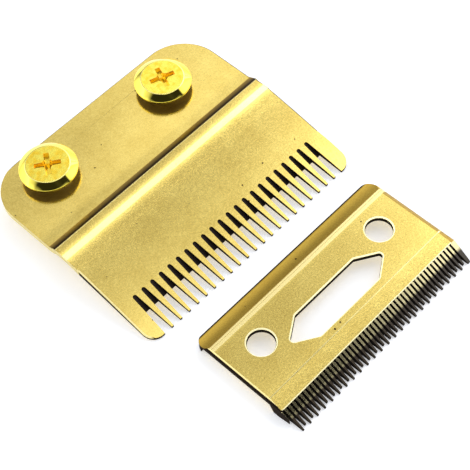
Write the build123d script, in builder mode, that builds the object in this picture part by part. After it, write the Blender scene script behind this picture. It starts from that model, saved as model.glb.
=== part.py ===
from build123d import *
import math
import os

# A hair clipper blade laid out as its two halves: the bent comb blade, with its two fixing screws
# standing in it, and the cutter lying in front of it.
# X runs along the tooth rows, the teeth point to -Y and Z is up.
# The origin is on the surface that the set lies on, at the middle of the set.

# Comb blade: a bent steel plate with slots ground into its front edge
comb_width = 45.8
comb_length = 39.1
sheet = 1.2
flange_length = 16.4
flange_drop = 2.85  # from the flange's underside down to the tooth tips
rear_corner_radius = 7.5
front_corner_radius = 2.2
ramp_run = 1.4
ramp_rise = 0.7
bend_radius = 0.3  # inside radius of both bends
crest_run = 2.2  # level strip between the bend and the ridge
ridge_radius = 12.0
front_crown = 0.25  # how far the front face bulges over a straight line
tip_thickness = 0.46

# Comb teeth
slot_count = 22
slot_pitch = 1.866
slot_length = 7.4
slot_ramp = 3.7  # length over which the slot's floor runs out through the underside
slot_root_width = 0.74
slot_tip_width = 1.48
slot_floor_sag = 0.12  # the grinding wheel leaves the floor hollow by this much
slot_run_in = 0.6  # the wheel starts down this far behind the root
slot_run_out = 0.15  # and ends this far below the underside

# Fixing screws
screw_spacing = 25.0  # between the comb blade's two holes
screw_inset = 6.35  # from the comb blade's rear edge
hole_clearance = 1.05  # round a screw's neck, so that the blade can be set in its place
screw_slip_left = (-0.76, 0.5)  # the screws stand loose, each to one side of its hole
screw_slip_right = (-0.84, -0.5)
shank_radius = 2.0
shank_chamfer = 0.4
thread_length = 2.5  # from the shank's end up to its plain neck
neck_radius = 1.7
head_stand_off = 1.45  # the screws are not run down, so their heads stand over the flange
head_height = 1.1
head_radius = 4.85
head_rim = 0.35  # height of the head's upright wall
head_flat_radius = 3.7
head_round = 0.15
recess_span = 4.4
recess_arm = 0.9
recess_depth = 0.8
recess_taper = 12.0
core_radius = 1.05  # the recess is deeper where its arms cross
core_depth = 1.5
core_taper = 20.0
recess_turn_left = -35.0
recess_turn_right = -20.0

# Cutter: a channel of ground steel, with a row of fine teeth along its front
plate_gap = 4.6  # between the comb's tooth tips and the cutter's rear lip
cutter_shift = 1.1  # the cutter lies this far to the right of the comb blade
cutter_width = 39.8
cutter_rear_reach = 8.1  # from the line of its holes back to the rear lip
cutter_front_reach = 13.5  # from the line of its holes to the long tooth tips
cutter_height = 2.4
web_thickness = 0.9
lip_reach = 3.0  # length of the lip's sloping top
lip_drop = 0.95
lip_crown = 0.12  # how far the lip's top bulges
lip_round = 0.7
seat_length = 1.4  # strip in front of the lip that falls slightly to the rear
seat_drop = 0.05
rail_width = 1.5
land_length = 5.2  # flat ground strip under the teeth
hollow_slope = 0.8  # run of the hollow's sloping front wall
cutter_corner_radius = 2.0
end_bevel_width = 0.4
end_bevel_length = 4.0
end_chamfer_width = 0.5
end_chamfer_drop = 0.35
brow_length = 6.3  # from the tooth tips back to where the top starts to fall
brow_drop = 0.22
cutter_tip_thickness = 0.3

# Cutter's holes and its long slot with pointed ends
hole_spacing = 27.06
hole_radius = 2.2
window_length = 21.4
window_flat = 13.36
window_width = 5.12
window_offset = 3.17  # the slot's centre lies this far in front of the hole line
window_corner_radius = 0.5
rim_chamfer = 0.28

# Cutter teeth, long and short in turn
gap_count = 49
gap_pitch = 0.796
gap_length = 3.65
gap_root_width = 0.36
gap_tip_width = 0.52
short_tooth_step = 0.4

# Places along Y and Z that the pieces share
overcut = 1.0
trim = 0.2  # extra stock round the bent plate, which its outline cuts away
total_length = comb_length + plate_gap + cutter_rear_reach + cutter_front_reach
rear_y = total_length / 2
crease_y = rear_y - flange_length
crest_y = crease_y - ramp_run
ridge_y = crest_y - crest_run
comb_tip_y = rear_y - comb_length
hole_y = rear_y - screw_inset
flange_top = flange_drop + sheet
crest_top = flange_top + ramp_rise
crest_bottom = crest_top - sheet
ramp_angle = math.atan2(ramp_rise, ramp_run)
bend_shift = sheet * math.tan(ramp_angle / 2)  # a bend's two faces turn this far apart
front_angle = math.atan2(crest_top - tip_thickness, ridge_y - comb_tip_y)
ridge_shift = sheet * math.tan(front_angle / 2)
cutter_y = comb_tip_y - plate_gap - cutter_rear_reach
cutter_plane = Plane((cutter_shift, cutter_y, 0))
cutter_section = Plane(cutter_plane.origin, x_dir=(0, 1, 0), z_dir=(1, 0, 0))

os.makedirs("parts", exist_ok=True)

# One slot of the comb, as the wheel cuts it: round at its root, widening towards the tips,
# with a floor that runs out through the underside
slot_root_y = comb_tip_y + slot_length
slot_break_y = slot_root_y - slot_ramp
slot_end_y = comb_tip_y - overcut
root_centre_y = slot_root_y - slot_root_width / 2
slot_flare = (slot_tip_width - slot_root_width) / (root_centre_y - comb_tip_y)
slot_end_width = slot_tip_width + slot_flare * overcut


def front_line(y, start_y, start_z, tip_z):
    """Height at y on a straight line from the ridge to the tooth tips."""
    share = (y - comb_tip_y) / (start_y - comb_tip_y)
    return tip_z + share * (start_z - tip_z)


with BuildPart() as tooth_slot:
    with BuildSketch(Plane.XY.offset(-overcut)):
        with BuildLine():
            Polyline(
                (-slot_root_width / 2, root_centre_y),
                (-slot_end_width / 2, slot_end_y),
                (slot_end_width / 2, slot_end_y),
                (slot_root_width / 2, root_centre_y),
            )
            RadiusArc(
                (slot_root_width / 2, root_centre_y),
                (-slot_root_width / 2, root_centre_y),
                -slot_root_width / 2,
            )
        make_face()
    extrude(amount=crest_top + 2 * overcut)
    with BuildSketch(Plane.YZ):
        entry_y = slot_root_y + slot_run_in
        entry_z = front_line(entry_y, ridge_y, crest_top, tip_thickness) + front_crown
        under_z = front_line(slot_break_y, ridge_y + ridge_shift, crest_bottom, 0)
        exit_z = under_z - slot_run_out
        with BuildLine():
            SagittaArc((entry_y, entry_z), (slot_break_y, exit_z), slot_floor_sag)
            Polyline(
                (slot_break_y, exit_z),
                (slot_end_y, -overcut),
                (slot_end_y, crest_top + overcut),
                (entry_y, crest_top + overcut),
                (entry_y, entry_z),
            )
        make_face()
    extrude(amount=slot_end_width, both=True, mode=Mode.INTERSECT)

# The comb blade, bent up from the flange and down again to the teeth, then trimmed to its outline
with BuildPart() as fixed_blade:
    with BuildSketch(Plane.YZ) as bent_section:
        stock_rear_y = rear_y + trim
        stock_front_y = comb_tip_y - trim
        stock_top = front_line(stock_front_y, ridge_y, crest_top, tip_thickness)
        stock_bottom = front_line(stock_front_y, ridge_y + ridge_shift, crest_bottom, 0)
        with BuildLine():
            Polyline(
                (stock_front_y, stock_top),
                (stock_front_y, stock_bottom),
                (ridge_y + ridge_shift, crest_bottom),
                (crest_y - bend_shift, crest_bottom),
                (crease_y - bend_shift, flange_drop),
                (stock_rear_y, flange_drop),
                (stock_rear_y, flange_top),
                (crease_y, flange_top),
                (crest_y, crest_top),
                (ridge_y, crest_top),
            )
            SagittaArc((ridge_y, crest_top), (stock_front_y, stock_top), -front_crown)
        make_face()
        for y, z, radius in (
            (crease_y, flange_top, bend_radius),
            (crest_y, crest_top, bend_radius + sheet),
            (ridge_y, crest_top, ridge_radius),
            (crease_y - bend_shift, flange_drop, bend_radius + sheet),
            (crest_y - bend_shift, crest_bottom, bend_radius),
            (ridge_y + ridge_shift, crest_bottom, ridge_radius - sheet),
        ):
            fillet(bent_section.vertices().sort_by_distance((y, z, 0))[0], radius=radius)
    extrude(amount=comb_width / 2 + trim, both=True)
    with BuildSketch(Plane.XY.offset(-overcut)) as comb_outline:
        with Locations((0, rear_y - comb_length / 2)):
            Rectangle(comb_width, comb_length)
        fillet(comb_outline.vertices().group_by(Axis.Y)[-1], radius=rear_corner_radius)
        fillet(comb_outline.vertices().group_by(Axis.Y)[0], radius=front_corner_radius)
    extrude(amount=crest_top + 2 * overcut, mode=Mode.INTERSECT)
    with Locations((0, hole_y, flange_top)):
        with GridLocations(screw_spacing, 0, 2, 1):
            Hole(radius=neck_radius + hole_clearance, depth=sheet + overcut)
    with GridLocations(slot_pitch, 0, slot_count, 1):
        add(tooth_slot.part, mode=Mode.SUBTRACT)
fixed_blade.part.label = "fixed_blade"
export_step(fixed_blade.part, "parts/fixed_blade.step")

# The fixing screws: a flat disc of a head with a sloping shoulder and a cross recess, on a short
# necked shank that reaches the ground
head_bottom = flange_top + head_stand_off
head_top = head_bottom + head_height

for name, side, slip, recess_turn in (
    ("screw_left", -1, screw_slip_left, recess_turn_left),
    ("screw_right", 1, screw_slip_right, recess_turn_right),
):
    screw_x = side * screw_spacing / 2 + slip[0]
    screw_y = hole_y + slip[1]
    with BuildPart() as screw:
        with BuildSketch(Plane((screw_x, screw_y, 0), x_dir=(1, 0, 0), z_dir=(0, -1, 0))) as turned:
            with BuildLine():
                Polyline(
                    (0, 0),
                    (shank_radius - shank_chamfer, 0),
                    (shank_radius, shank_chamfer),
                    (shank_radius, thread_length),
                    (neck_radius, thread_length + shank_radius - neck_radius),
                    (neck_radius, head_bottom),
                    (head_radius, head_bottom),
                    (head_radius, head_bottom + head_rim),
                    (head_flat_radius, head_top),
                    (0, head_top),
                    close=True,
                )
            make_face()
            shoulder_edge = turned.vertices().sort_by_distance((head_flat_radius, head_top, 0))[0]
            fillet(shoulder_edge, radius=head_round)
        revolve(axis=Axis((screw_x, screw_y, 0), (0, 0, 1)))
        recess_plane = Plane((screw_x, screw_y, head_top)).rotated((0, 0, recess_turn))
        with BuildSketch(recess_plane):
            Rectangle(recess_span, recess_arm)
            Rectangle(recess_arm, recess_span)
            RegularPolygon(core_radius, 4, rotation=45)
        extrude(amount=-recess_depth, taper=recess_taper, mode=Mode.SUBTRACT)
        with BuildSketch(recess_plane):
            RegularPolygon(core_radius, 4, rotation=45)
        extrude(amount=-core_depth, taper=core_taper, mode=Mode.SUBTRACT)
    screw.part.label = name
    export_step(screw.part, f"parts/{name}.step")

# The cutter: a channel with a rail along its rear, a pointed slot for the drive and two holes
tip_y = -cutter_front_reach
root_y = tip_y + gap_length
brow_y = tip_y + brow_length
lip_y = cutter_rear_reach - lip_reach
lip_top = cutter_height - seat_drop
lip_end = cutter_height - lip_drop
hollow_top = cutter_height - web_thickness
short_count = gap_count // 2

with BuildPart() as cutter_blade:
    with BuildSketch(cutter_section) as channel_section:
        with BuildLine():
            Polyline(
                (tip_y, 0),
                (tip_y, cutter_tip_thickness),
                (root_y, cutter_height - brow_drop),
                (brow_y, cutter_height),
                (lip_y - seat_length, cutter_height),
                (lip_y, lip_top),
            )
            SagittaArc((lip_y, lip_top), (cutter_rear_reach, lip_end), -lip_crown)
            Polyline(
                (cutter_rear_reach, lip_end),
                (cutter_rear_reach, 0),
                (cutter_rear_reach - rail_width, 0),
                (cutter_rear_reach - rail_width, hollow_top),
                (tip_y + land_length + hollow_slope, hollow_top),
                (tip_y + land_length, 0),
                (tip_y, 0),
            )
        make_face()
        lip_edge = channel_section.vertices().sort_by_distance((cutter_rear_reach, lip_end, 0))[0]
        fillet(lip_edge, radius=lip_round)
    extrude(amount=cutter_width / 2, both=True)
    with BuildSketch(Plane(cutter_plane.origin, x_dir=(1, 0, 0), z_dir=(0, -1, 0))):
        with BuildLine():
            Polyline(
                (-cutter_width / 2, 0),
                (-cutter_width / 2, cutter_height - end_chamfer_drop),
                (-cutter_width / 2 + end_chamfer_width, cutter_height),
                (cutter_width / 2 - end_chamfer_width, cutter_height),
                (cutter_width / 2, cutter_height - end_chamfer_drop),
                (cutter_width / 2, 0),
                close=True,
            )
        make_face()
    extrude(amount=cutter_front_reach + overcut, both=True, mode=Mode.INTERSECT)
    with BuildSketch(cutter_plane):
        with BuildLine():
            Polyline(
                (-cutter_width / 2, cutter_rear_reach),
                (-cutter_width / 2, tip_y + end_bevel_length),
                (-cutter_width / 2 + end_bevel_width, tip_y),
                (cutter_width / 2 - end_bevel_width, tip_y),
                (cutter_width / 2, tip_y + end_bevel_length),
                (cutter_width / 2, cutter_rear_reach),
                close=True,
            )
        plate = make_face()
        fillet(plate.vertices().group_by(Axis.Y)[-1], radius=cutter_corner_radius)
    extrude(amount=cutter_height, mode=Mode.INTERSECT)
    with BuildSketch(cutter_plane.offset(cutter_height)):
        with BuildLine(Location((0, -window_offset))):
            Polyline(
                (-window_length / 2, 0),
                (-window_flat / 2, window_width / 2),
                (window_flat / 2, window_width / 2),
                (window_length / 2, 0),
                (window_flat / 2, -window_width / 2),
                (-window_flat / 2, -window_width / 2),
                close=True,
            )
        window = make_face()
        fillet(window.vertices(), radius=window_corner_radius)
        with GridLocations(hole_spacing, 0, 2, 1):
            Circle(hole_radius)
    extrude(amount=-cutter_height, mode=Mode.SUBTRACT)
    top_face = cutter_blade.faces().filter_by(Axis.Z).sort_by(Axis.Z)[-1]
    chamfer(top_face.inner_wires().edges(), length=rim_chamfer)
    with BuildSketch(cutter_plane):
        with Locations((-gap_pitch / 2, 0)):
            with GridLocations(gap_pitch, 0, gap_count, 1):
                Polygon(
                    (-gap_tip_width / 2, tip_y),
                    (gap_tip_width / 2, tip_y),
                    (gap_root_width / 2, root_y),
                    (-gap_root_width / 2, root_y),
                    align=None,
                )
        with Locations((0, tip_y + short_tooth_step / 2)):
            with GridLocations(2 * gap_pitch, 0, short_count, 1):
                Rectangle(gap_pitch, short_tooth_step)
    extrude(amount=cutter_height, mode=Mode.SUBTRACT)
cutter_blade.part.label = "cutter_blade"
export_step(cutter_blade.part, "parts/cutter_blade.step")
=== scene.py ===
import math

import bmesh
import bpy
from mathutils import Matrix, Vector


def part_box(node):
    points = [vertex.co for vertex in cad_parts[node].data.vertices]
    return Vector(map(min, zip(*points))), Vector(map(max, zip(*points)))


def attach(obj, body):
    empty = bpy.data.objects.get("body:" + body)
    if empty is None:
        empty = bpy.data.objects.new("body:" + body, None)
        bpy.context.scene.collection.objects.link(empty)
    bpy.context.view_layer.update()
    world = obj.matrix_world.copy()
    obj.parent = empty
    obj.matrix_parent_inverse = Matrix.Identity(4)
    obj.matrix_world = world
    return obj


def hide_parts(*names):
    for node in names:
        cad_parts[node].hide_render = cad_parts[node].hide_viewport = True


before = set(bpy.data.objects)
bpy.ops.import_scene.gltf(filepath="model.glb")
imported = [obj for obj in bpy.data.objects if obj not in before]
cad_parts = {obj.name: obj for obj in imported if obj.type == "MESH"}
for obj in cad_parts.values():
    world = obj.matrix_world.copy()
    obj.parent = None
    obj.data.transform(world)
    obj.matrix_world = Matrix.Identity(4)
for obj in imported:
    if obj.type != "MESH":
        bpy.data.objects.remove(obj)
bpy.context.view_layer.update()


# Comb blade: the fixed half of the cutting pair, a strip of steel bent up from its flange and
# down again to a row of ground teeth. A thin gold nitride coat covers all of it. Its near rims, left
# wall and crest carry painted highlights; its walls, far rims, slot floors and ramp carry painted shade.
MM = 0.001
comb_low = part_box("fixed_blade")[0]
comb_rim = 0.22 * MM  # width of a rubbed rim
slot_end_y = comb_low.y + 7.6 * MM  # just behind the slots' round roots
left_rim_x = comb_low.x + 0.5 * MM  # the left wall's rim lies outside this
pale_left_wall_y = 9.5 * MM  # the left wall has a painted highlight from here back
crest_front_y, crest_rear_y = 12.0 * MM, 13.1 * MM  # strip of the crest with a painted highlight
ramp_top_y, ramp_foot_y = 14.7 * MM, 16.4 * MM
line_end_y = 15.0 * MM  # the narrow face at the ramp's top lies in front of this

# Which way a face looks, told by its normal
wall_z = 0.35  # rises less than this: a wall
top_z = 0.6  # rises more than this: a top face
along_x = 0.1  # less X than this: a face that runs straight along X
left_facing = -0.2
far_facing = 0.4  # X and Y together above this: a wall at the right or the rear
far_rim = 0.3  # X or Y above this: a rim at the right or the rear
slot_lean = -0.32  # the slots' floors lean further forward than this
ramp_lean = 0.03  # the ramp leans further back than this
line_lean = (0.1, 0.25)  # the narrow face at the ramp's top leans back by this
smooth_turn = math.cos(math.radians(15))  # faces that meet at less than this shade as one

# Finishes of the faces, by their place in a blade's list of materials
FACE, RIM, WALL, LINE, SIDE = 0, 1, 2, 7, 8  # on both blades
BEND, SLOT_FLOOR, PALE_LEFT_WALL, CREST = 3, 4, 5, 6  # on the comb alone

# The sheet isn't quite flat: how far it leans back or forward at each Y, in mm, which only shades it
sheet_slopes = [
    (y * MM, slope)
    for y, slope in (
        (10.6, -0.19),
        (11.4, -0.174),
        (12.0, -0.157),
        (12.5, -0.144),
        (13.1, -0.13),
        (13.8, -0.1),
        (14.7, -0.078),
        (16.4, 0.085),
        (17.2, 0.06),
        (18.2, 0.022),
        (19.2, 0.005),
        (22.0, 0.008),
        (26.0, 0.017),
        (29.0, 0.033),
        (33.0, 0.042),
    )
]


def linear(hex_colour):
    """Linear colour of an sRGB hex value such as #C8A040."""
    parts = [int(hex_colour[i : i + 2], 16) / 255 for i in (1, 3, 5)]
    return [p / 12.92 if p <= 0.04045 else ((p + 0.055) / 1.055) ** 2.4 for p in parts] + [1.0]


def add_node(tree, kind, inputs=None, **settings):
    """Adds a node, with its settings, and with its inputs as values or as sockets to link from."""
    node = tree.nodes.new(kind)
    for name, value in settings.items():
        setattr(node, name, value)
    for name, value in (inputs or {}).items():
        if isinstance(value, bpy.types.NodeSocket):
            tree.links.new(value, node.inputs[name])
        else:
            node.inputs[name].default_value = value
    return node


def new_tree(material_name):
    """Material with an empty node tree."""
    material = bpy.data.materials.new(material_name)
    material.use_nodes = True
    material.node_tree.nodes.clear()
    return material, material.node_tree


def smoothed_normals(mesh, slopes):
    """Corner normals, which turn evenly over curved faces and run on level across the rims."""
    narrow = (RIM, LINE)
    hair = 0.001 * MM
    corner = {}
    for face in mesh.faces:
        if face.material_index in narrow:
            continue
        for vert in face.verts:
            total = Vector()
            for other in vert.link_faces:
                if other.material_index not in narrow and other.normal.dot(face.normal) > smooth_turn:
                    total += other.calc_area() * other.normal
            if abs(total.x) < along_x * total.length:
                total.x = 0
            corner[face.index, vert.index] = total.normalized()
        if abs(face.normal.x) < along_x:
            front = min(face.verts, key=lambda v: v.co.y)
            rear = max(face.verts, key=lambda v: v.co.y)
            front_normal = corner[face.index, front.index]
            rear_normal = corner[face.index, rear.index]
            span = max(rear.co.y - front.co.y, 1e-9)
            for vert in face.verts:
                share = (vert.co.y - front.co.y) / span
                corner[face.index, vert.index] = front_normal.lerp(rear_normal, share).normalized()
        if face.material_index not in (FACE, CREST) or face.normal.z <= 0:
            continue
        for (start, first), (end, last) in zip(slopes, slopes[1:]):
            for vert in face.verts:
                if start - hair < vert.co.y < end + hair:
                    slope = first + (last - first) * (vert.co.y - start) / (end - start)
                    corner[face.index, vert.index] = Vector((0, slope, 1)).normalized()
    normals = []
    for face in mesh.faces:
        if face.material_index not in narrow:
            normals += [corner[face.index, vert.index] for vert in face.verts]
            continue
        total = Vector((0, 0, 0.001))
        for vert in face.verts:
            for other in vert.link_faces:
                if other.material_index not in narrow and other.normal.z > top_z:
                    total += corner[other.index, vert.index]
        normals += [total.normalized()] * len(face.verts)
    return normals


def blade_copy(node_name, piece_name, finish_of, rim_top, rim_width, rim_of, teeth_end_y, cuts, slopes=()):
    """Copy of a blade's CAD node with its upper rims rubbed down, and its faces sorted by finish."""
    weld_gap = 0.0001 * MM
    flat_turn = math.radians(0.3)
    mesh = bmesh.new()
    mesh.from_mesh(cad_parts[node_name].data)
    bmesh.ops.remove_doubles(mesh, verts=mesh.verts, dist=weld_gap)
    bmesh.ops.dissolve_limit(mesh, angle_limit=flat_turn, verts=mesh.verts, edges=mesh.edges)
    for place, across in cuts:
        parts = mesh.verts[:] + mesh.edges[:] + mesh.faces[:]
        bmesh.ops.bisect_plane(mesh, geom=parts, plane_co=place * Vector(across), plane_no=across)
    for face in mesh.faces:
        face.material_index = finish_of(face.normal, face.calc_center_median())
        face.smooth = True
    rims = []
    for edge in mesh.edges:
        walls = [f for f in edge.link_faces if f.material_index == WALL]
        tops = [f for f in edge.link_faces if f.material_index == rim_top and f.normal.z > top_z]
        if len(walls) == len(tops) == 1 and edge.is_convex:
            middle = (edge.verts[0].co + edge.verts[1].co) / 2
            if rim_of(middle, walls[0].normal) is not None:
                rims.append(edge)
    made = bmesh.ops.bevel(mesh, geom=rims, offset=rim_width, segments=1, affect="EDGES")
    for face in made["faces"]:
        face.material_index = rim_of(face.calc_center_median(), face.normal) or RIM
        face.smooth = True
    # Far walls keep the dull coat; the other walls keep the near-black painted shade
    for face in mesh.faces:
        far_side = abs(face.normal.z) < wall_z and face.normal.x + face.normal.y > far_facing
        if face.material_index == WALL and far_side and face.calc_center_median().y > teeth_end_y:
            face.material_index = SIDE
    mesh.normal_update()
    mesh.faces.index_update()
    mesh.verts.index_update()
    normals = smoothed_normals(mesh, slopes)
    data = bpy.data.meshes.new(piece_name)
    mesh.to_mesh(data)
    mesh.free()
    data.normals_split_custom_set(normals)
    piece = bpy.data.objects.new(piece_name, data)
    bpy.context.scene.collection.objects.link(piece)
    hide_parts(node_name)
    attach(piece, "root")
    return piece


def gold_nitride(name, coat, shade):
    """Gold nitride on ground steel: a satin mirror with clouds of thinner coat, grain and a few pits."""
    cloud_size = 5 * MM
    grain_size = 0.3 * MM  # real grinding is far finer, so it is drawn as coarse as it needs to show
    grain_share = 0.48  # of the tone, and the clouds have the rest
    thin_tone, thick_tone = 0.32, 0.68
    cloud_height, grain_height = 0.006 * MM, 0.003 * MM
    smoothest, roughest = 0.14, 0.21
    pit_spacing = 3.2 * MM
    pit_chance, pit_full = 0.62, 0.9  # cells under the first have no pit, and over the last the largest
    largest_pit = 0.055  # radius, as a share of the spacing
    pit_brown = "#4A3616"
    material, tree = new_tree(name)
    place = add_node(tree, "ShaderNodeTexCoord").outputs["Object"]
    clouds = add_node(
        tree,
        "ShaderNodeTexNoise",
        {"Vector": place, "Scale": 1 / cloud_size, "Detail": 5.0, "Roughness": 0.65},
    )
    grain = add_node(
        tree,
        "ShaderNodeTexNoise",
        {"Vector": place, "Scale": 1 / grain_size, "Detail": 2.0},
    )
    sand = add_node(
        tree,
        "ShaderNodeMix",
        {0: grain_share, 2: clouds.outputs["Fac"], 3: grain.outputs["Fac"]},
    )
    tone = add_node(
        tree,
        "ShaderNodeMapRange",
        {"Value": sand.outputs[0], "From Min": thin_tone, "From Max": thick_tone},
    )
    colour = add_node(
        tree,
        "ShaderNodeMix",
        {0: tone.outputs["Result"], 6: linear(shade), 7: linear(coat)},
        data_type="RGBA",
    )
    cells = add_node(
        tree,
        "ShaderNodeTexVoronoi",
        {"Vector": place, "Scale": 1 / pit_spacing},
        voronoi_dimensions="2D",
    )
    pit_radius = add_node(
        tree,
        "ShaderNodeMapRange",
        {
            "Value": cells.outputs["Color"],
            "From Min": pit_chance,
            "From Max": pit_full,
            "To Min": 0.0,
            "To Max": largest_pit,
        },
    )
    pits = add_node(
        tree,
        "ShaderNodeMath",
        {0: cells.outputs["Distance"], 1: pit_radius.outputs["Result"]},
        operation="LESS_THAN",
    )
    colour = add_node(
        tree,
        "ShaderNodeMix",
        {0: pits.outputs[0], 6: colour.outputs[2], 7: linear(pit_brown)},
        data_type="RGBA",
    )
    waves = add_node(
        tree,
        "ShaderNodeBump",
        {"Height": clouds.outputs["Fac"], "Strength": 1.0, "Distance": cloud_height},
    )
    relief = add_node(
        tree,
        "ShaderNodeBump",
        {
            "Height": grain.outputs["Fac"],
            "Strength": 1.0,
            "Distance": grain_height,
            "Normal": waves.outputs["Normal"],
        },
    )
    satin = add_node(
        tree,
        "ShaderNodeMapRange",
        {"Value": grain.outputs["Fac"], "To Min": smoothest, "To Max": roughest},
    )
    surface = add_node(
        tree,
        "ShaderNodeBsdfPrincipled",
        {
            "Base Color": colour.outputs[2],
            "Metallic": 1.0,
            "Roughness": satin.outputs["Result"],
            "Normal": relief.outputs["Normal"],
        },
    )
    add_node(tree, "ShaderNodeOutputMaterial", {"Surface": surface.outputs["BSDF"]})
    return material


def plain_metal(name, colour, roughness, metallic=1.0, gloss=0.5):
    """One even finish, of bare, coated or plated metal, with the metalness and gloss it is given."""
    material, tree = new_tree(name)
    surface = add_node(
        tree,
        "ShaderNodeBsdfPrincipled",
        {
            "Base Color": linear(colour),
            "Metallic": metallic,
            "Roughness": roughness,
            "Specular IOR Level": gloss,
        },
    )
    add_node(tree, "ShaderNodeOutputMaterial", {"Surface": surface.outputs["BSDF"]})
    return material


def painted_fade_along_y(name, roughness, first, last, dull_start=False):
    """Colour that fades between two places along Y, painting shade and light; at need it starts matt."""
    material, tree = new_tree(name)
    place = add_node(tree, "ShaderNodeTexCoord").outputs["Object"]
    share = add_node(
        tree,
        "ShaderNodeMapRange",
        {
            "Value": add_node(tree, "ShaderNodeSeparateXYZ", {"Vector": place}).outputs["Y"],
            "From Min": first[0],
            "From Max": last[0],
        },
    )
    colour = add_node(
        tree,
        "ShaderNodeMix",
        {0: share.outputs["Result"], 6: linear(first[1]), 7: linear(last[1])},
        data_type="RGBA",
    )
    surface = add_node(
        tree,
        "ShaderNodeBsdfPrincipled",
        {
            "Base Color": colour.outputs[2],
            "Metallic": share.outputs["Result"] if dull_start else 1.0,
            "Roughness": roughness,
        },
    )
    add_node(tree, "ShaderNodeOutputMaterial", {"Surface": surface.outputs["BSDF"]})
    return material


def comb_finish(normal, centre):
    """Comb face finish: painted shade on walls, slot floors, ramp; painted highlight on left wall, crest.
    """
    if abs(normal.z) < wall_z:
        pale_left = normal.x < left_facing and centre.y > pale_left_wall_y
        return PALE_LEFT_WALL if pale_left else WALL
    if normal.z < 0:
        return FACE
    if normal.y < slot_lean:
        return SLOT_FLOOR
    if centre.y < line_end_y and line_lean[0] < normal.y < line_lean[1]:
        return LINE
    if crest_front_y < centre.y < crest_rear_y:
        return CREST
    return BEND if normal.y > ramp_lean and centre.y > ramp_top_y else FACE


def comb_rim_finish(place, normal):
    """Rims: painted highlight at near edges, painted shade at far edges, and sharp round the slots."""
    if place.y < slot_end_y and place.x > left_rim_x:
        return None
    return WALL if normal.y > far_rim or normal.x > far_rim else RIM


# Gold nitride on ground steel gives a satin mirror, pale gold where the coat is thick
coated_steel = gold_nitride("gold_nitride_on_ground_steel", "#F7DF80", "#DDC164")
# On the crest the coat is painted paler: a painted highlight that draws a line of light across the comb
crest_painted_highlight = gold_nitride("gold_nitride_with_painted_highlight_on_crest", "#FFEEA2", "#F4E08E")
# The near rims are pale and soft, a thin bright outline: a painted highlight
comb_rim_painted_highlight = plain_metal("gold_with_painted_highlight_on_rims", "#F8E8A4", 0.3)
# A sheared wall is rough and matt, and painted almost black: painted shade, also on far rims
wall_painted_shade = plain_metal("sheared_wall_with_painted_shade", "#20160C", 0.8, 0.0, 0.1)
# The left wall and the ramp's top line are pale, a painted highlight, and mirror the white of the card
wall_and_line_painted_highlight = plain_metal("gold_with_painted_highlight_at_wall", "#E8D890", 0.4)
# The far walls keep a dull coat, a browner gold than the faces
dull_side = plain_metal("dull_coat_on_outline", "#9C7A38", 0.5)
# Painted shade on the bend's ramp: dark brown at its top, fading to gold at its foot
ramp_painted_shade = painted_fade_along_y(
    "gold_nitride_with_painted_shade_on_ramp", 0.4, (ramp_top_y + 0.5 * MM, "#3A2A14"), (ramp_foot_y, "#C8A858")
)
# The slots' floors are a dark grey with little shine: painted shade
slot_floor_painted_shade = plain_metal("slot_floor_with_painted_shade", "#3A3230", 0.6)

comb = blade_copy(
    "fixed_blade",
    "comb_blade",
    finish_of=comb_finish,
    rim_top=FACE,
    rim_width=comb_rim,
    rim_of=comb_rim_finish,
    teeth_end_y=slot_end_y,
    cuts=[(y, (0, 1, 0)) for y in [pale_left_wall_y] + [y for y, slope in sheet_slopes]],
    slopes=sheet_slopes,
)
comb_finishes = {
    FACE: coated_steel,
    RIM: comb_rim_painted_highlight,
    WALL: wall_painted_shade,
    BEND: ramp_painted_shade,
    SLOT_FLOOR: slot_floor_painted_shade,
    PALE_LEFT_WALL: wall_and_line_painted_highlight,
    CREST: crest_painted_highlight,
    LINE: wall_and_line_painted_highlight,
    SIDE: dull_side,
}
for index in sorted(comb_finishes):
    comb.data.materials.append(comb_finishes[index])


# Fixing screws: two turned steel screws, each a flat disc of a head with a sloping shoulder and a
# cross recess, on a short threaded shank. They are plated bright yellow, with the turning marks
# left on top, and the plating is thick and amber in the recess.
screw_turns = {"left": -35.0, "right": -20.0}  # of the recess, in degrees
around = 96  # points on a ring

# The turned profile, in mm: rings of radius and height from the shank's end to the top
shank_radius = 2.0
thread_pitch, thread_depth = 0.7, 0.22
thread_end, thread_fade = 2.5, 0.3  # the thread runs out over its last stretch
thread_rings = 36
shank_rows = [(1.6, 0.0)] + [(shank_radius, 0.4 + 0.06 * i) for i in range(thread_rings)]
head_rows = [
    (1.72, 2.8),
    (1.7, 2.9),
    (1.7, 5.45),
    (1.75, 5.5),
    (4.78, 5.5),
    (4.83, 5.515),
    (4.85, 5.56),
    (4.85, 5.78),
    (4.84, 5.83),
    (4.8, 5.875),
    (3.8, 6.535),
    (3.74, 6.57),
    (3.66, 6.59),
    (3.56, 6.6),
    (3.5, 6.6),
    (2.75, 6.6),
]
screw_top = head_rows[-1][1]

# The cross recess, in mm: its arms, and the pit in their middle
cross_reach, cross_half, cross_core, cross_slant = 2.2, 0.45, 0.74, 0.1
cross_depth, cross_draft = 0.8, 0.17
cross_side_draft = 0.6 * cross_draft
pit_depth, pit_taper = 1.5, 0.35

# Finishes of the screw's faces, and the rings from which they run
PLATING, RECESS, UNDERSIDE, SHOULDER_HIGHLIGHT, TOP = range(5)
row_finish = {3: UNDERSIDE, 11: SHOULDER_HIGHLIGHT, 12: SHOULDER_HIGHLIGHT, 13: TOP, 14: TOP}  # by row of the head
sharp_turn = math.radians(32)  # edges that turn more than this stay sharp


def cross_outline(reach, half, core):
    """Corners of a cross, anticlockwise, with slanted inner corners."""
    inner = core + cross_slant
    quarter = [(reach, -half), (reach, half), (inner, half), (half, inner)]
    points = []
    for turn in range(4):
        c, s = round(math.cos(turn * math.pi / 2)), round(math.sin(turn * math.pi / 2))
        points += [(c * x - s * y, s * x + c * y) for x, y in quarter]
    return points


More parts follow.
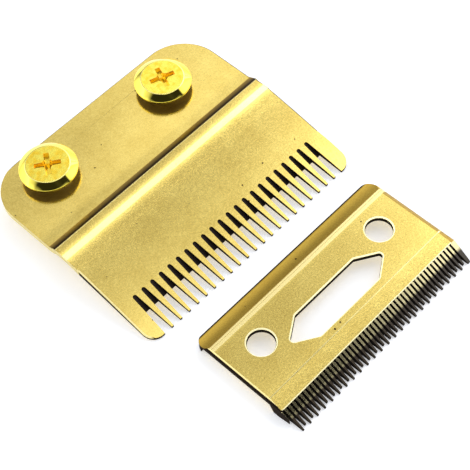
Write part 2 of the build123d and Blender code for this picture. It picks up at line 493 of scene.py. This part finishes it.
def screw_mesh(name, centre, turn):
    """Turned screw about the axis at centre, with its recess turned by an angle in degrees."""
    mesh = bmesh.new()
    rows = shank_rows + head_rows
    rings = []
    for row, (ring_radius, height) in enumerate(rows):
        ring = []
        for i in range(around):
            angle = 2 * math.pi * i / around
            radius = ring_radius
            if 0 < row < len(shank_rows):
                phase = (height / thread_pitch - i / around) % 1.0
                fade = min(1.0, max(0.0, (thread_end - height) / thread_fade))
                radius -= thread_depth * (1 - abs(2 * phase - 1)) * fade
            place = (radius * math.cos(angle) * MM, radius * math.sin(angle) * MM, height * MM)
            ring.append(mesh.verts.new(place))
        rings.append(ring)
    for row, (low, high) in enumerate(zip(rings, rings[1:])):
        for i in range(around):
            j = (i + 1) % around
            side = mesh.faces.new((low[i], low[j], high[j], high[i]))
            side.material_index = row_finish.get(row - len(shank_rows), PLATING)
    mesh.faces.new(reversed(rings[0]))
    spin = Matrix.Rotation(math.radians(turn), 3, "Z")

    def loop_at(outline, z):
        return [mesh.verts.new(spin @ Vector((x * MM, y * MM, z * MM))) for x, y in outline]

    mouth = loop_at(cross_outline(cross_reach, cross_half, cross_core), screw_top)
    bed = loop_at(
        cross_outline(cross_reach - cross_draft, cross_half - cross_side_draft, cross_core - cross_draft),
        screw_top - cross_depth,
    )
    edges = []
    for loop in (rings[-1], mouth):
        for a, b in zip(loop, loop[1:] + loop[:1]):
            edges.append(mesh.edges.get((a, b)) or mesh.edges.new((a, b)))
    fill = bmesh.ops.triangle_fill(mesh, edges=edges, use_beauty=True, use_dissolve=False, normal=(0, 0, 1))
    for part in fill["geom"]:
        if isinstance(part, bmesh.types.BMFace):
            part.material_index = TOP
    count = len(mouth)
    for i in range(count):
        j = (i + 1) % count
        mesh.faces.new((mouth[i], mouth[j], bed[j], bed[i])).material_index = RECESS
    for i in range(0, count, 4):
        arm = (bed[i], bed[i + 1], bed[i + 2], bed[i - 1])
        mesh.faces.new(reversed(arm)).material_index = RECESS
    pit = [vert for i, vert in enumerate(bed) if i % 4 in (2, 3)]
    pit_z = (screw_top - pit_depth) * MM
    bottom = [mesh.verts.new((v.co.x * pit_taper, v.co.y * pit_taper, pit_z)) for v in pit]
    for i in range(len(pit)):
        j = (i + 1) % len(pit)
        mesh.faces.new((pit[i], pit[j], bottom[j], bottom[i])).material_index = RECESS
    mesh.faces.new(bottom).material_index = RECESS
    bmesh.ops.recalc_face_normals(mesh, faces=mesh.faces)
    for face in mesh.faces:
        face.smooth = face.material_index != RECESS
    for edge in mesh.edges:
        edge.smooth = edge.calc_face_angle(0.0) < sharp_turn
    bmesh.ops.translate(mesh, verts=mesh.verts, vec=centre)
    data = bpy.data.meshes.new(name)
    mesh.to_mesh(data)
    mesh.free()
    return data


def turned_plating(name, thick, thin):
    """Plating over turning marks: uneven, with spots where it has settled thicker."""
    spot_size = 0.9 * MM  # turning marks are finer, so they are drawn as coarse as they need to show
    spot_height = 0.018 * MM
    material, tree = new_tree(name)
    place = add_node(tree, "ShaderNodeTexCoord").outputs["Object"]
    spots = add_node(
        tree,
        "ShaderNodeTexNoise",
        {"Vector": place, "Scale": 1 / spot_size, "Detail": 3.0},
    )
    share = add_node(
        tree,
        "ShaderNodeMapRange",
        {"Value": spots.outputs["Fac"], "From Min": 0.35, "From Max": 0.6},
    )
    colour = add_node(
        tree,
        "ShaderNodeMix",
        {0: share.outputs["Result"], 6: linear(thick), 7: linear(thin)},
        data_type="RGBA",
    )
    relief = add_node(
        tree,
        "ShaderNodeBump",
        {"Height": spots.outputs["Fac"], "Strength": 1.0, "Distance": spot_height},
    )
    surface = add_node(
        tree,
        "ShaderNodeBsdfPrincipled",
        {
            "Base Color": colour.outputs[2],
            "Metallic": 1.0,
            "Roughness": 0.2,
            "Normal": relief.outputs["Normal"],
        },
    )
    add_node(tree, "ShaderNodeOutputMaterial", {"Surface": surface.outputs["BSDF"]})
    return material


# Yellow plating on turned steel is a clear mirror, which shows the dark of the room as a crescent
plated_steel = plain_metal("bright_yellow_plating", "#FFEE62", 0.07)
# On the flat top the turning marks break that mirror up into warm and pale spots
turned_top = turned_plating("yellow_plating_on_turned_top", "#FFD840", "#FFEE66")
# In the recess the plating mirrors itself and deepens to amber
amber_plating = plain_metal("amber_plating_in_recess", "#FFDC48", 0.2, 0.8)
# Under the head a cool grey: painted shade, mirrored in the flange below the head
underside_painted_shade = plain_metal("plating_with_painted_shade_under_head", "#8C88A0", 0.5, 0.3)
# The shoulder's upper edge is painted a pale ring: a painted highlight
shoulder_painted_highlight = plain_metal("plating_with_painted_highlight_at_shoulder", "#FDF08C", 0.2)
screw_finishes = {
    PLATING: plated_steel,
    RECESS: amber_plating,
    UNDERSIDE: underside_painted_shade,
    SHOULDER_HIGHLIGHT: shoulder_painted_highlight,
    TOP: turned_top,
}
for side, turn in screw_turns.items():
    screw_low, screw_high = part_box(f"screw_{side}")
    axis = Vector(((screw_low.x + screw_high.x) / 2, (screw_low.y + screw_high.y) / 2, 0))
    data = screw_mesh(f"fixing_screw_{side}", axis, turn)
    for index in sorted(screw_finishes):
        data.materials.append(screw_finishes[index])
    screw = bpy.data.objects.new(f"fixing_screw_{side}", data)
    bpy.context.scene.collection.objects.link(screw)
    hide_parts(f"screw_{side}")
    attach(screw, "root")


# Cutter: the moving half, a ground channel of the same coated steel with a row of fine teeth. Its
# rear lip is a browner gold, a painted shade. Its pale lines, left chamfer and the mouths of its
# slot and holes carry painted highlights; walls, rims, dark lines, right end and tips painted shade.
cutter_low, cutter_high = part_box("cutter_blade")
cutter_rim = 0.1 * MM
tooth_root_y = cutter_low.y + 3.65 * MM
teeth_shade_end_y, teeth_highlight_start_y = cutter_low.y + 2.0 * MM, cutter_low.y + 2.5 * MM  # on the teeth: painted shade ends at the first, painted highlight starts at the second
lip_y = cutter_high.y - 3.0 * MM
end_x = cutter_high.x - 0.75 * MM  # the painted shade of the right end starts here
chamfer_highlight_x = cutter_low.x + 0.3 * MM  # the left chamfer has a painted highlight from here in, painted shade outside

# Lines along the blade, each from one Y to another
root_line = (tooth_root_y, tooth_root_y + 0.17 * MM)
brow_line = (cutter_low.y + 6.22 * MM, cutter_low.y + 6.38 * MM)
seat_line = (lip_y - 1.05 * MM, lip_y - 0.08 * MM)
groove_line = (lip_y - 0.46 * MM, lip_y - 0.4 * MM)
ridge_line = (lip_y - 0.08 * MM, lip_y + 0.06 * MM)

GROOVE, SEAT, LIP, TOOTH = 3, 4, 5, 6  # finishes on the cutter alone
mouth_z = (0.6, 0.76)  # the chamfers of the slot and holes rise by this
lip_round_y = 0.43  # the lip's round leans further back than this
chamfer_x = -0.3  # the left chamfer faces further left than this


def cutter_finish(normal, centre):
    """Finish of a face of the cutter: painted highlights on pale lines and chamfers, painted shade
    elsewhere.
    """

    def on(line):
        return line[0] < centre.y < line[1]

    if abs(normal.z) < wall_z or normal.y > lip_round_y and centre.y > lip_y:
        return WALL
    if normal.z < 0:
        return FACE
    if centre.y < tooth_root_y:
        return TOOTH
    if mouth_z[0] < normal.z < mouth_z[1] and centre.y < lip_y:
        return RIM
    if normal.x < chamfer_x:
        return SEAT if centre.x > chamfer_highlight_x else WALL
    if on(root_line) and centre.x < end_x:
        return RIM
    if on(brow_line):
        return LINE
    if on(groove_line) or on(ridge_line):
        return GROOVE
    if on(seat_line):
        return SEAT
    if centre.x > end_x and centre.y < lip_y:
        return GROOVE
    return LIP if centre.y > lip_y else FACE


# The lip is a browner copy of the coat: painted shade
lip_painted_shade = gold_nitride("gold_nitride_with_painted_shade_on_lip", "#EBC759", "#DDB54C")
# The teeth are painted dark at their tips, a painted shade, and pale towards their roots, a painted
# highlight
teeth_painted_shade_and_highlight = painted_fade_along_y(
    "gold_nitride_with_painted_shade_and_highlight_on_teeth",
    0.16,
    (teeth_shade_end_y, "#443C32"),
    (teeth_highlight_start_y, "#FFF3BC"),
    dull_start=True,
)
# The mouths of the slot and holes and the teeth's root line are painted cream: a painted highlight
cutter_rim_painted_highlight = plain_metal("gold_with_painted_highlight_on_cutter_rims", "#FFF6C4", 0.3)
# One thin line along the brow is painted pale: a painted highlight
brow_painted_highlight = plain_metal("gold_with_painted_highlight_on_brow", "#FFF0A8", 0.12)
# The right end, the groove and the lip's ridge line are painted tan: painted shade beside the bright face
end_and_lines_painted_shade = plain_metal("coat_with_painted_shade_on_end_and_lines", "#B4954C", 0.4)
# The seat that slides in the clipper and the left chamfer are painted a pale band: a painted highlight
seat_and_chamfer_painted_highlight = plain_metal("gold_with_painted_highlight_at_seat_and_chamfer", "#FCEAA2", 0.22)

line_cuts = [y for line in (root_line, brow_line, seat_line, groove_line, ridge_line) for y in line]
cutter = blade_copy(
    "cutter_blade",
    "cutter",
    finish_of=cutter_finish,
    rim_top=RIM,
    rim_width=cutter_rim,
    # every rim is drawn in the walls' near-black painted shade, a dark outline
    rim_of=lambda place, normal: WALL,
    teeth_end_y=tooth_root_y,
    cuts=[(y, (0, 1, 0)) for y in line_cuts] + [(x, (1, 0, 0)) for x in (end_x, chamfer_highlight_x)],
)
cutter_finishes = {
    FACE: coated_steel,
    RIM: cutter_rim_painted_highlight,
    WALL: wall_painted_shade,
    GROOVE: end_and_lines_painted_shade,
    SEAT: seat_and_chamfer_painted_highlight,
    LIP: lip_painted_shade,
    TOOTH: teeth_painted_shade_and_highlight,
    LINE: brow_painted_highlight,
    SIDE: dull_side,
}
for index in sorted(cutter_finishes):
    cutter.data.materials.append(cutter_finishes[index])


# Floor: a sheet of white card that the blades lie on. It is matt and a little cool, and a camera or
# a mirror sees it lifted to white, while the blades' shadows stay on it.
half = 1.5
card_lift = 0.4
card_corners = [(-half, -half, 0), (half, -half, 0), (half, half, 0), (-half, half, 0)]
card = bpy.data.meshes.new("white_card")
card.from_pydata(card_corners, [], [(0, 1, 2, 3)])
floor = bpy.data.objects.new("white_card", card)
bpy.context.scene.collection.objects.link(floor)
card_white, tree = new_tree("matt_white_card")
path = add_node(tree, "ShaderNodeLightPath")
seen = add_node(
    tree,
    "ShaderNodeMath",
    {0: path.outputs["Is Camera Ray"], 1: path.outputs["Is Glossy Ray"]},
    operation="MAXIMUM",
)
seen = add_node(
    tree,
    "ShaderNodeMath",
    {0: seen.outputs[0], 1: path.outputs["Is Transmission Ray"]},
    operation="MAXIMUM",
)
lift = add_node(tree, "ShaderNodeMath", {0: seen.outputs[0], 1: card_lift}, operation="MULTIPLY")
matt = add_node(tree, "ShaderNodeBsdfDiffuse", {"Color": linear("#ECEFF5")})
glow = add_node(tree, "ShaderNodeEmission", {"Strength": lift.outputs[0]})
both = add_node(tree, "ShaderNodeAddShader", {0: matt.outputs[0], 1: glow.outputs[0]})
add_node(tree, "ShaderNodeOutputMaterial", {"Surface": both.outputs[0]})
card.materials.append(card_white)


# Light: long soft boxes overhead, parallel to the tooth rows and brighter to the right, with more
# boxes low on each side, and a dark gap on the side from which the blades are seen. Each box has
# its level over the lean, in degrees from overhead to the rear, and its level along X.
lamps = [
    # Overhead boxes with gaps between them, which the comb's front and the cutter's face mirror
    (
        (
            (-90, 0.35),
            (-62, 0.25),
            (-50, 0.03),
            (-17, 0.03),
            (-11, 2.0),
            (-7, 1.9),
            (-3, 1.4),
            (0, 1.08),
            (3, 0.95),
            (8, 0.55),
            (10.5, 0.3),
            (12.5, 2.2),
            (14, 4.2),
            (16, 2.8),
            (18, 0.6),
            (20, 0.5),
            (23, 0.5),
            (25, 0.9),
            (27, 1.7),
            (29, 0.7),
            (30, 0.0),
        ),
        (
            (-0.22, 0.0),
            (-0.08, 0.9),
            (0.12, 1.0),
            (0.2, 1.08),
            (0.27, 1.1),
            (0.33, 0.98),
            (0.37, 0.9),
            (0.42, 1.08),
            (0.47, 1.5),
            (0.6, 1.7),
            (1.0, 1.2),
        ),
    ),
    # Box behind them, which the flange mirrors
    (
        ((29, 0.0), (31, 1.9), (33, 1.5), (35, 0.9), (38, 0.75), (42, 0.6), (44, 0.0)),
        (
            (0.05, 0.0),
            (0.12, 0.8),
            (0.24, 0.8),
            (0.28, 0.83),
            (0.32, 0.97),
            (0.36, 0.97),
            (0.4, 1.1),
            (0.44, 0.9),
        ),
    ),
    # Small box beside it, on the flange's right half
    (
        ((30, 0.0), (34, 0.6), (40, 0.7), (44, 0.0)),
        ((0.34, 0.0), (0.385, 1.0), (0.42, 0.6), (0.5, 0.3)),
    ),
    # Rear wall, in the foot of the ramp and the cutter's lip
    (
        ((38, 0.0), (44, 1.0), (54, 0.8), (60, 0.52), (66, 0.38), (74, 0.42), (84, 0.35)),
        ((0.3, 1.15), (0.45, 0.85)),
    ),
    # Low box in front, for those who stand behind the blades
    (
        ((-90, 1.25), (-53, 1.25), (-44, 0.0)),
        ((-0.75, 1.0), (0.2, 1.0), (0.35, 0.0)),
    ),
    # Box on the left
    (
        ((-47, 0.0), (-45, 0.03), (8, 0.03), (22, 1.0), (45, 1.6), (75, 1.4), (90, 0.8)),
        ((-0.1, 1.0), (0.12, 0.0)),
    ),
    # Small box low at the front right, in the cutter's teeth
    (
        ((-60, 0.0), (-45, 1.0), (-30, 1.0), (-20, 0.0)),
        ((0.395, 0.0), (0.415, 0.4), (0.43, 1.0), (0.455, 1.25), (0.48, 0.85)),
    ),
    # Two strips at the right, on the blades' right ends
    (
        ((-4, 0.25), (2, 0.25), (4.5, 0.0), (17.5, 0.0), (20, 0.38), (23.5, 0.38), (26, 0.0)),
        ((0.435, 0.0), (0.46, 1.0), (0.7, 1.0)),
    ),
    # Tall boxes far to the left and right, on the walls and the low sides
    (
        ((-90, 1.0), (90, 1.0)),
        ((-1.0, 0.9), (-0.82, 0.8), (-0.7, 0.0), (0.43, 0.0), (0.5, 0.5), (0.62, 1.1), (1.0, 1.1)),
    ),
]
world = bpy.data.worlds.new("studio")
bpy.context.scene.world = world
world.use_nodes = True
tree = world.node_tree
tree.nodes.clear()
way = add_node(
    tree,
    "ShaderNodeSeparateXYZ",
    {"Vector": add_node(tree, "ShaderNodeTexCoord").outputs["Generated"]},
)
lean = add_node(
    tree, "ShaderNodeMath", {0: way.outputs["Y"], 1: way.outputs["Z"]}, operation="ARCTAN2"
)
lean = add_node(tree, "ShaderNodeMath", {0: lean.outputs[0]}, operation="DEGREES")
strength = 0.0
for over_lean, along in lamps:
    shares = []
    peak = 1.0
    for value, reach, stops in ((lean.outputs[0], 90, over_lean), (way.outputs["X"], 1, along)):
        brightest = max(level for at, level in stops)
        peak *= brightest
        place = add_node(
            tree,
            "ShaderNodeMapRange",
            {"Value": value, "From Min": -reach, "From Max": reach},
        )
        ramp = add_node(tree, "ShaderNodeValToRGB", {"Fac": place.outputs["Result"]})
        for i, (at, level) in enumerate(stops):
            spot = (at + reach) / (2 * reach)
            stop = ramp.color_ramp.elements[i] if i < 2 else ramp.color_ramp.elements.new(spot)
            stop.position = spot
            stop.color = [level / brightest] * 3 + [1.0]
        shares.append(ramp.outputs["Color"])
    lamp = add_node(tree, "ShaderNodeMath", {0: shares[0], 1: shares[1]}, operation="MULTIPLY")
    strength = add_node(
        tree,
        "ShaderNodeMath",
        {0: lamp.outputs[0], 1: peak, 2: strength},
        operation="MULTIPLY_ADD",
    ).outputs[0]
path = add_node(tree, "ShaderNodeLightPath")
studio = add_node(tree, "ShaderNodeBackground", {"Strength": strength})
white = add_node(tree, "ShaderNodeBackground", {"Strength": 1.0})
mix = add_node(
    tree,
    "ShaderNodeMixShader",
    {0: path.outputs["Is Camera Ray"], 1: studio.outputs[0], 2: white.outputs[0]},
)
add_node(tree, "ShaderNodeOutputWorld", {"Surface": mix.outputs[0]})


# Camera: a long lens that looks down on the blades from their front left, with a slight roll, as in
# the hand. Its angles are in radians.
camera_azimuth = -2.3053
camera_elevation = 0.9875
camera_roll = -0.0894
camera_distance = 205.894 * MM
camera_aim = Vector((-0.149, -1.874, 0.0)) * MM
back = Vector(
    (
        math.cos(camera_elevation) * math.cos(camera_azimuth),
        math.cos(camera_elevation) * math.sin(camera_azimuth),
        math.sin(camera_elevation),
    )
)
level_right = Vector((0, 0, 1)).cross(back).normalized()
level_up = back.cross(level_right)
right = math.cos(camera_roll) * level_right + math.sin(camera_roll) * level_up
up = -math.sin(camera_roll) * level_right + math.cos(camera_roll) * level_up
turn = Matrix((right, up, back)).transposed().to_4x4()
lens = bpy.data.cameras.new("camera")
lens.sensor_width = 36.0
lens.lens = 99.0
lens.clip_start = 0.01
camera = bpy.data.objects.new("camera", lens)
bpy.context.scene.collection.objects.link(camera)
camera.matrix_world = Matrix.Translation(camera_aim + camera_distance * back) @ turn
bpy.context.scene.camera = camera
bpy.context.scene.view_settings.view_transform = "Standard"
